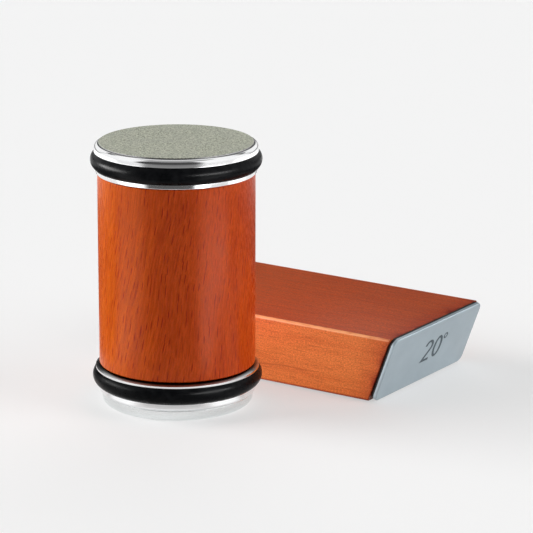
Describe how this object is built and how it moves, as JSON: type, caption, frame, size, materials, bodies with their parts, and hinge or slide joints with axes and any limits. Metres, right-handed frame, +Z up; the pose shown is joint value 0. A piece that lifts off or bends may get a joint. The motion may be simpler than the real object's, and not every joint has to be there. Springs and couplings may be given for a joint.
{
  "type": "rolling knife sharpener",
  "caption": "Rolling knife sharpener: wooden grip on ball bearings between rubber-tyred end wheels with a diamond and a honing disc, and a magnetic wooden angle block.",
  "frame": {"origin": "middle of the honing disc's lower face, on which the roller stands", "axes": "+Z up along the roller axis through the diamond disc; +Y from the roller towards the angle block, square to its long sides; +X along the block towards its 20 degree end"},
  "size_m": [0.1045, 0.1213, 0.0902],
  "materials": {
    "stained_wood": "stained and lacquered beech, satin gloss",
    "turned_aluminium": "turned and polished",
    "tyre_rubber": "smooth, slightly glossy",
    "pad_rubber": "matt, finely grained",
    "diamond_grit": "steel plate coated with fine grit",
    "honing_steel": "finely turned",
    "satin_steel": "satin, with bright chamfer",
    "dark_glue": "matt adhesive sheet",
    "plain_steel": "machined",
    "bearing_steel": "ground and polished",
    "nickel": "nickel plated magnet",
    "nylon": "moulded"
  },
  "bodies": {
    "honing_disc": {"honing_disc": "honing_steel"},
    "rolling_set": {"axle": "plain_steel", "spacer_tube": "turned_aluminium", "upper_hub": "turned_aluminium", "lower_hub": "turned_aluminium", "upper_tyre": "tyre_rubber", "lower_tyre": "tyre_rubber", "upper_hub_screw": "plain_steel", "lower_hub_screw": "plain_steel", "upper_disc_magnet": "nickel", "lower_disc_magnet": "nickel", "upper_inner_ring": "bearing_steel", "lower_inner_ring": "bearing_steel"},
    "grip": {"grip": "stained_wood", "upper_bearing_cup": "turned_aluminium", "lower_bearing_cup": "turned_aluminium", "upper_outer_ring": "bearing_steel", "lower_outer_ring": "bearing_steel", "upper_top_shield": "plain_steel", "upper_base_shield": "plain_steel", "lower_top_shield": "plain_steel", "lower_base_shield": "plain_steel"},
    "upper_cage": {"upper_cage": "nylon", "upper_ball_1": "bearing_steel", "upper_ball_2": "bearing_steel", "upper_ball_3": "bearing_steel", "upper_ball_4": "bearing_steel", "upper_ball_5": "bearing_steel", "upper_ball_6": "bearing_steel", "upper_ball_7": "bearing_steel"},
    "lower_cage": {"lower_cage": "nylon", "lower_ball_1": "bearing_steel", "lower_ball_2": "bearing_steel", "lower_ball_3": "bearing_steel", "lower_ball_4": "bearing_steel", "lower_ball_5": "bearing_steel", "lower_ball_6": "bearing_steel", "lower_ball_7": "bearing_steel"},
    "diamond_disc": {"diamond_disc": "diamond_grit"},
    "angle_block": {"block_body": "stained_wood", "plate_20": "satin_steel", "plate_15": "satin_steel", "glue_sheet_20": "dark_glue", "glue_sheet_15": "dark_glue", "base_pad": "pad_rubber", "blade_magnet_20_1": "nickel", "blade_magnet_20_2": "nickel", "blade_magnet_20_3": "nickel", "blade_magnet_15_1": "nickel", "blade_magnet_15_2": "nickel", "blade_magnet_15_3": "nickel"}
  },
  "joints": [
    {"name": "roller_lift", "type": "slide", "parent": "honing_disc", "child": "rolling_set", "axis": [0, 0, 1], "range_m": [0, 0.012], "stiffness_N_per_m": 150, "springref_m": -0.04},
    {"name": "grip_spin", "type": "hinge", "parent": "rolling_set", "child": "grip", "pos_m": [0, 0, 0.0467], "axis": [0, 0, 1], "continuous": true},
    {"name": "upper_cage_spin", "type": "hinge", "parent": "rolling_set", "child": "upper_cage", "pos_m": [0, 0, 0.074], "axis": [0, 0, 1], "continuous": true},
    {"name": "lower_cage_spin", "type": "hinge", "parent": "rolling_set", "child": "lower_cage", "pos_m": [0, 0, 0.0194], "axis": [0, 0, 1], "continuous": true},
    {"name": "diamond_disc_lift", "type": "slide", "parent": "rolling_set", "child": "diamond_disc", "axis": [0, 0, 1], "range_m": [0, 0.012], "stiffness_N_per_m": 150, "springref_m": -0.04},
    {"name": "block_slide", "type": "slide", "parent": "honing_disc", "child": "angle_block", "axis": [0, 1, 0], "range_m": [0, 0.12]}
  ],
  "couplings": [
    {"joint": "upper_cage_spin", "follows": "grip_spin", "ratio": 0.632},
    {"joint": "lower_cage_spin", "follows": "grip_spin", "ratio": 0.632}
  ]
}
